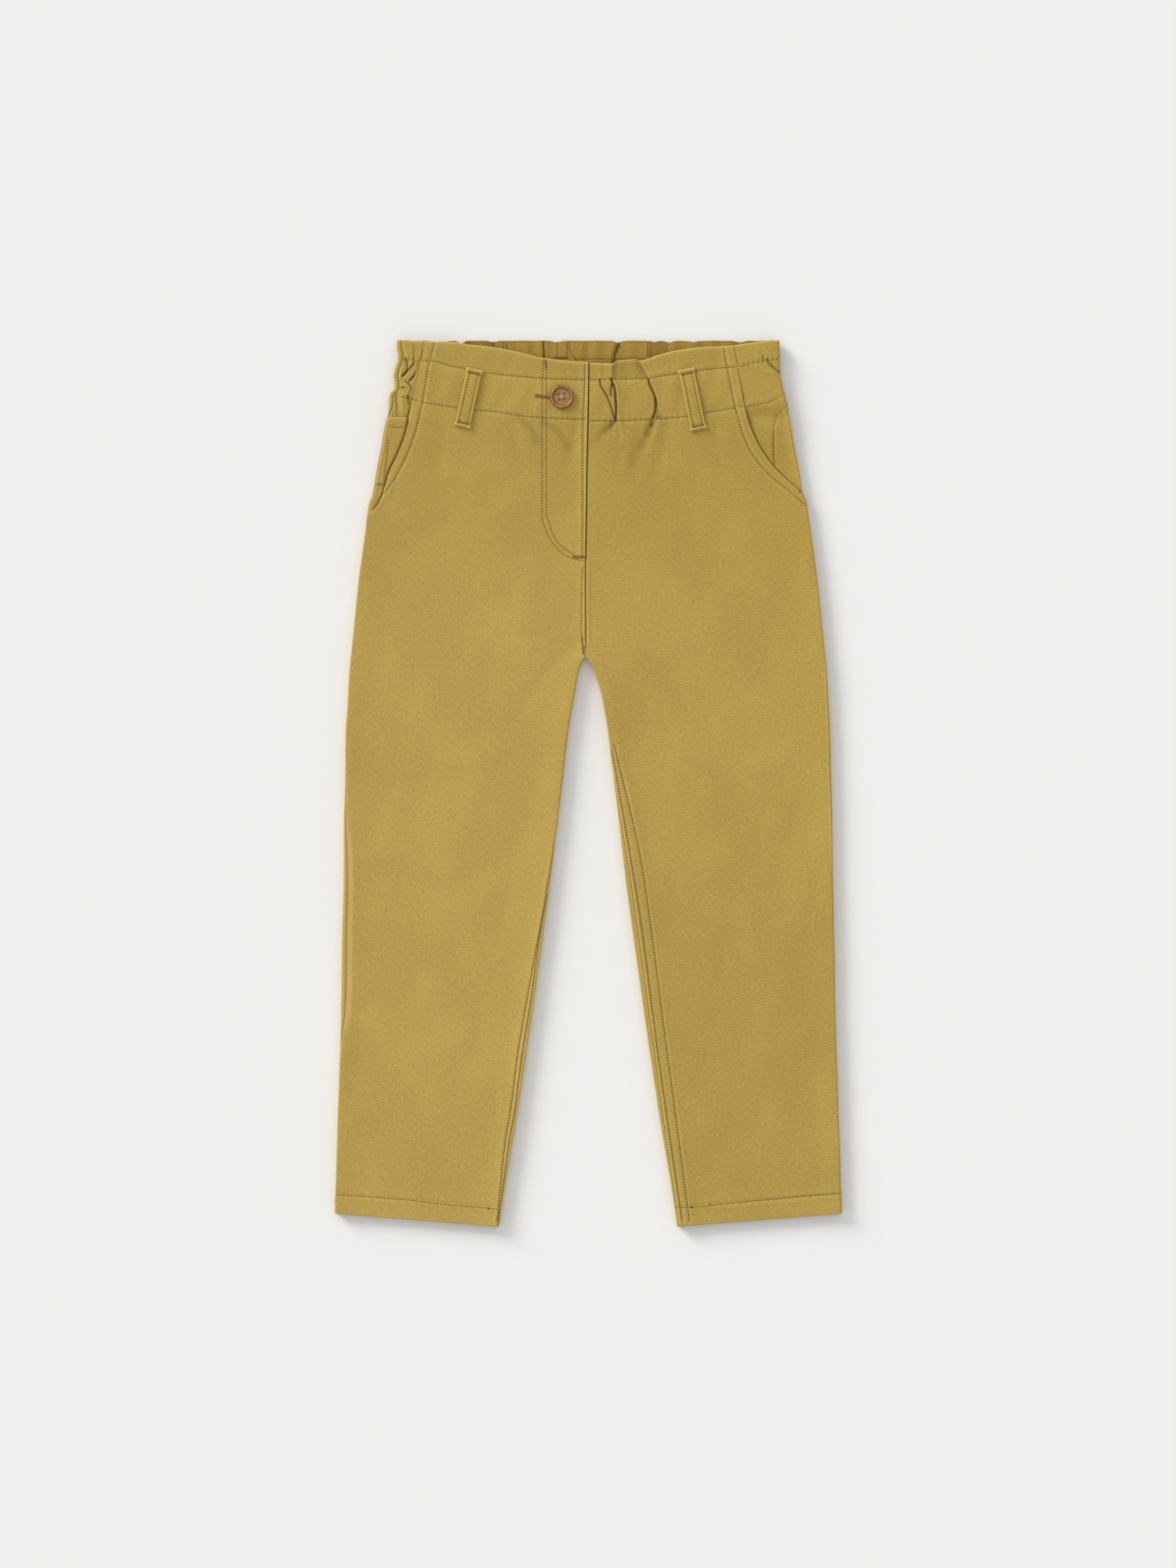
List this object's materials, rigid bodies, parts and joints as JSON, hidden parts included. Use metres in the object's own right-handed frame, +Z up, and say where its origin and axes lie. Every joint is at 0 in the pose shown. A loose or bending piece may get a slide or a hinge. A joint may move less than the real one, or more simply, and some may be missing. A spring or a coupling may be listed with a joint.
{
  "type": "child's paperbag-waist trousers laid flat",
  "caption": "Child's straight twill trousers with a gathered paperbag waist, buttoned fly, curved front pockets and belt loops, laid flat with the front up.",
  "frame": {"origin": "on the surface the trousers lie on, under the middle of their outline", "axes": "+X to the wearer's left, +Y from the hems to the waist, +Z up out of the front"},
  "size_m": [0.3362, 0.5881, 0.0105],
  "materials": {
    "twill": "washed mustard cotton twill",
    "twill_inside": "the same twill on the back legs, its reverse seen inside the waist",
    "thread": "matching olive sewing thread",
    "bartack_thread": "reddish brown thread of the bar tacks and the buttonhole",
    "horn_button": "satin horn-look plastic"
  },
  "bodies": {
    "root": {"front_right": "twill", "front_left": "twill", "side_right": "twill", "side_left": "twill", "coin_pocket": "twill", "back_right": "twill_inside", "back_left": "twill_inside", "belt_loop_front_right": "twill", "belt_loop_front_left": "twill", "belt_loop_back_right": "twill", "belt_loop_back_center": "twill", "belt_loop_back_left": "twill", "button": "horn_button"}
  },
  "joints": []
}
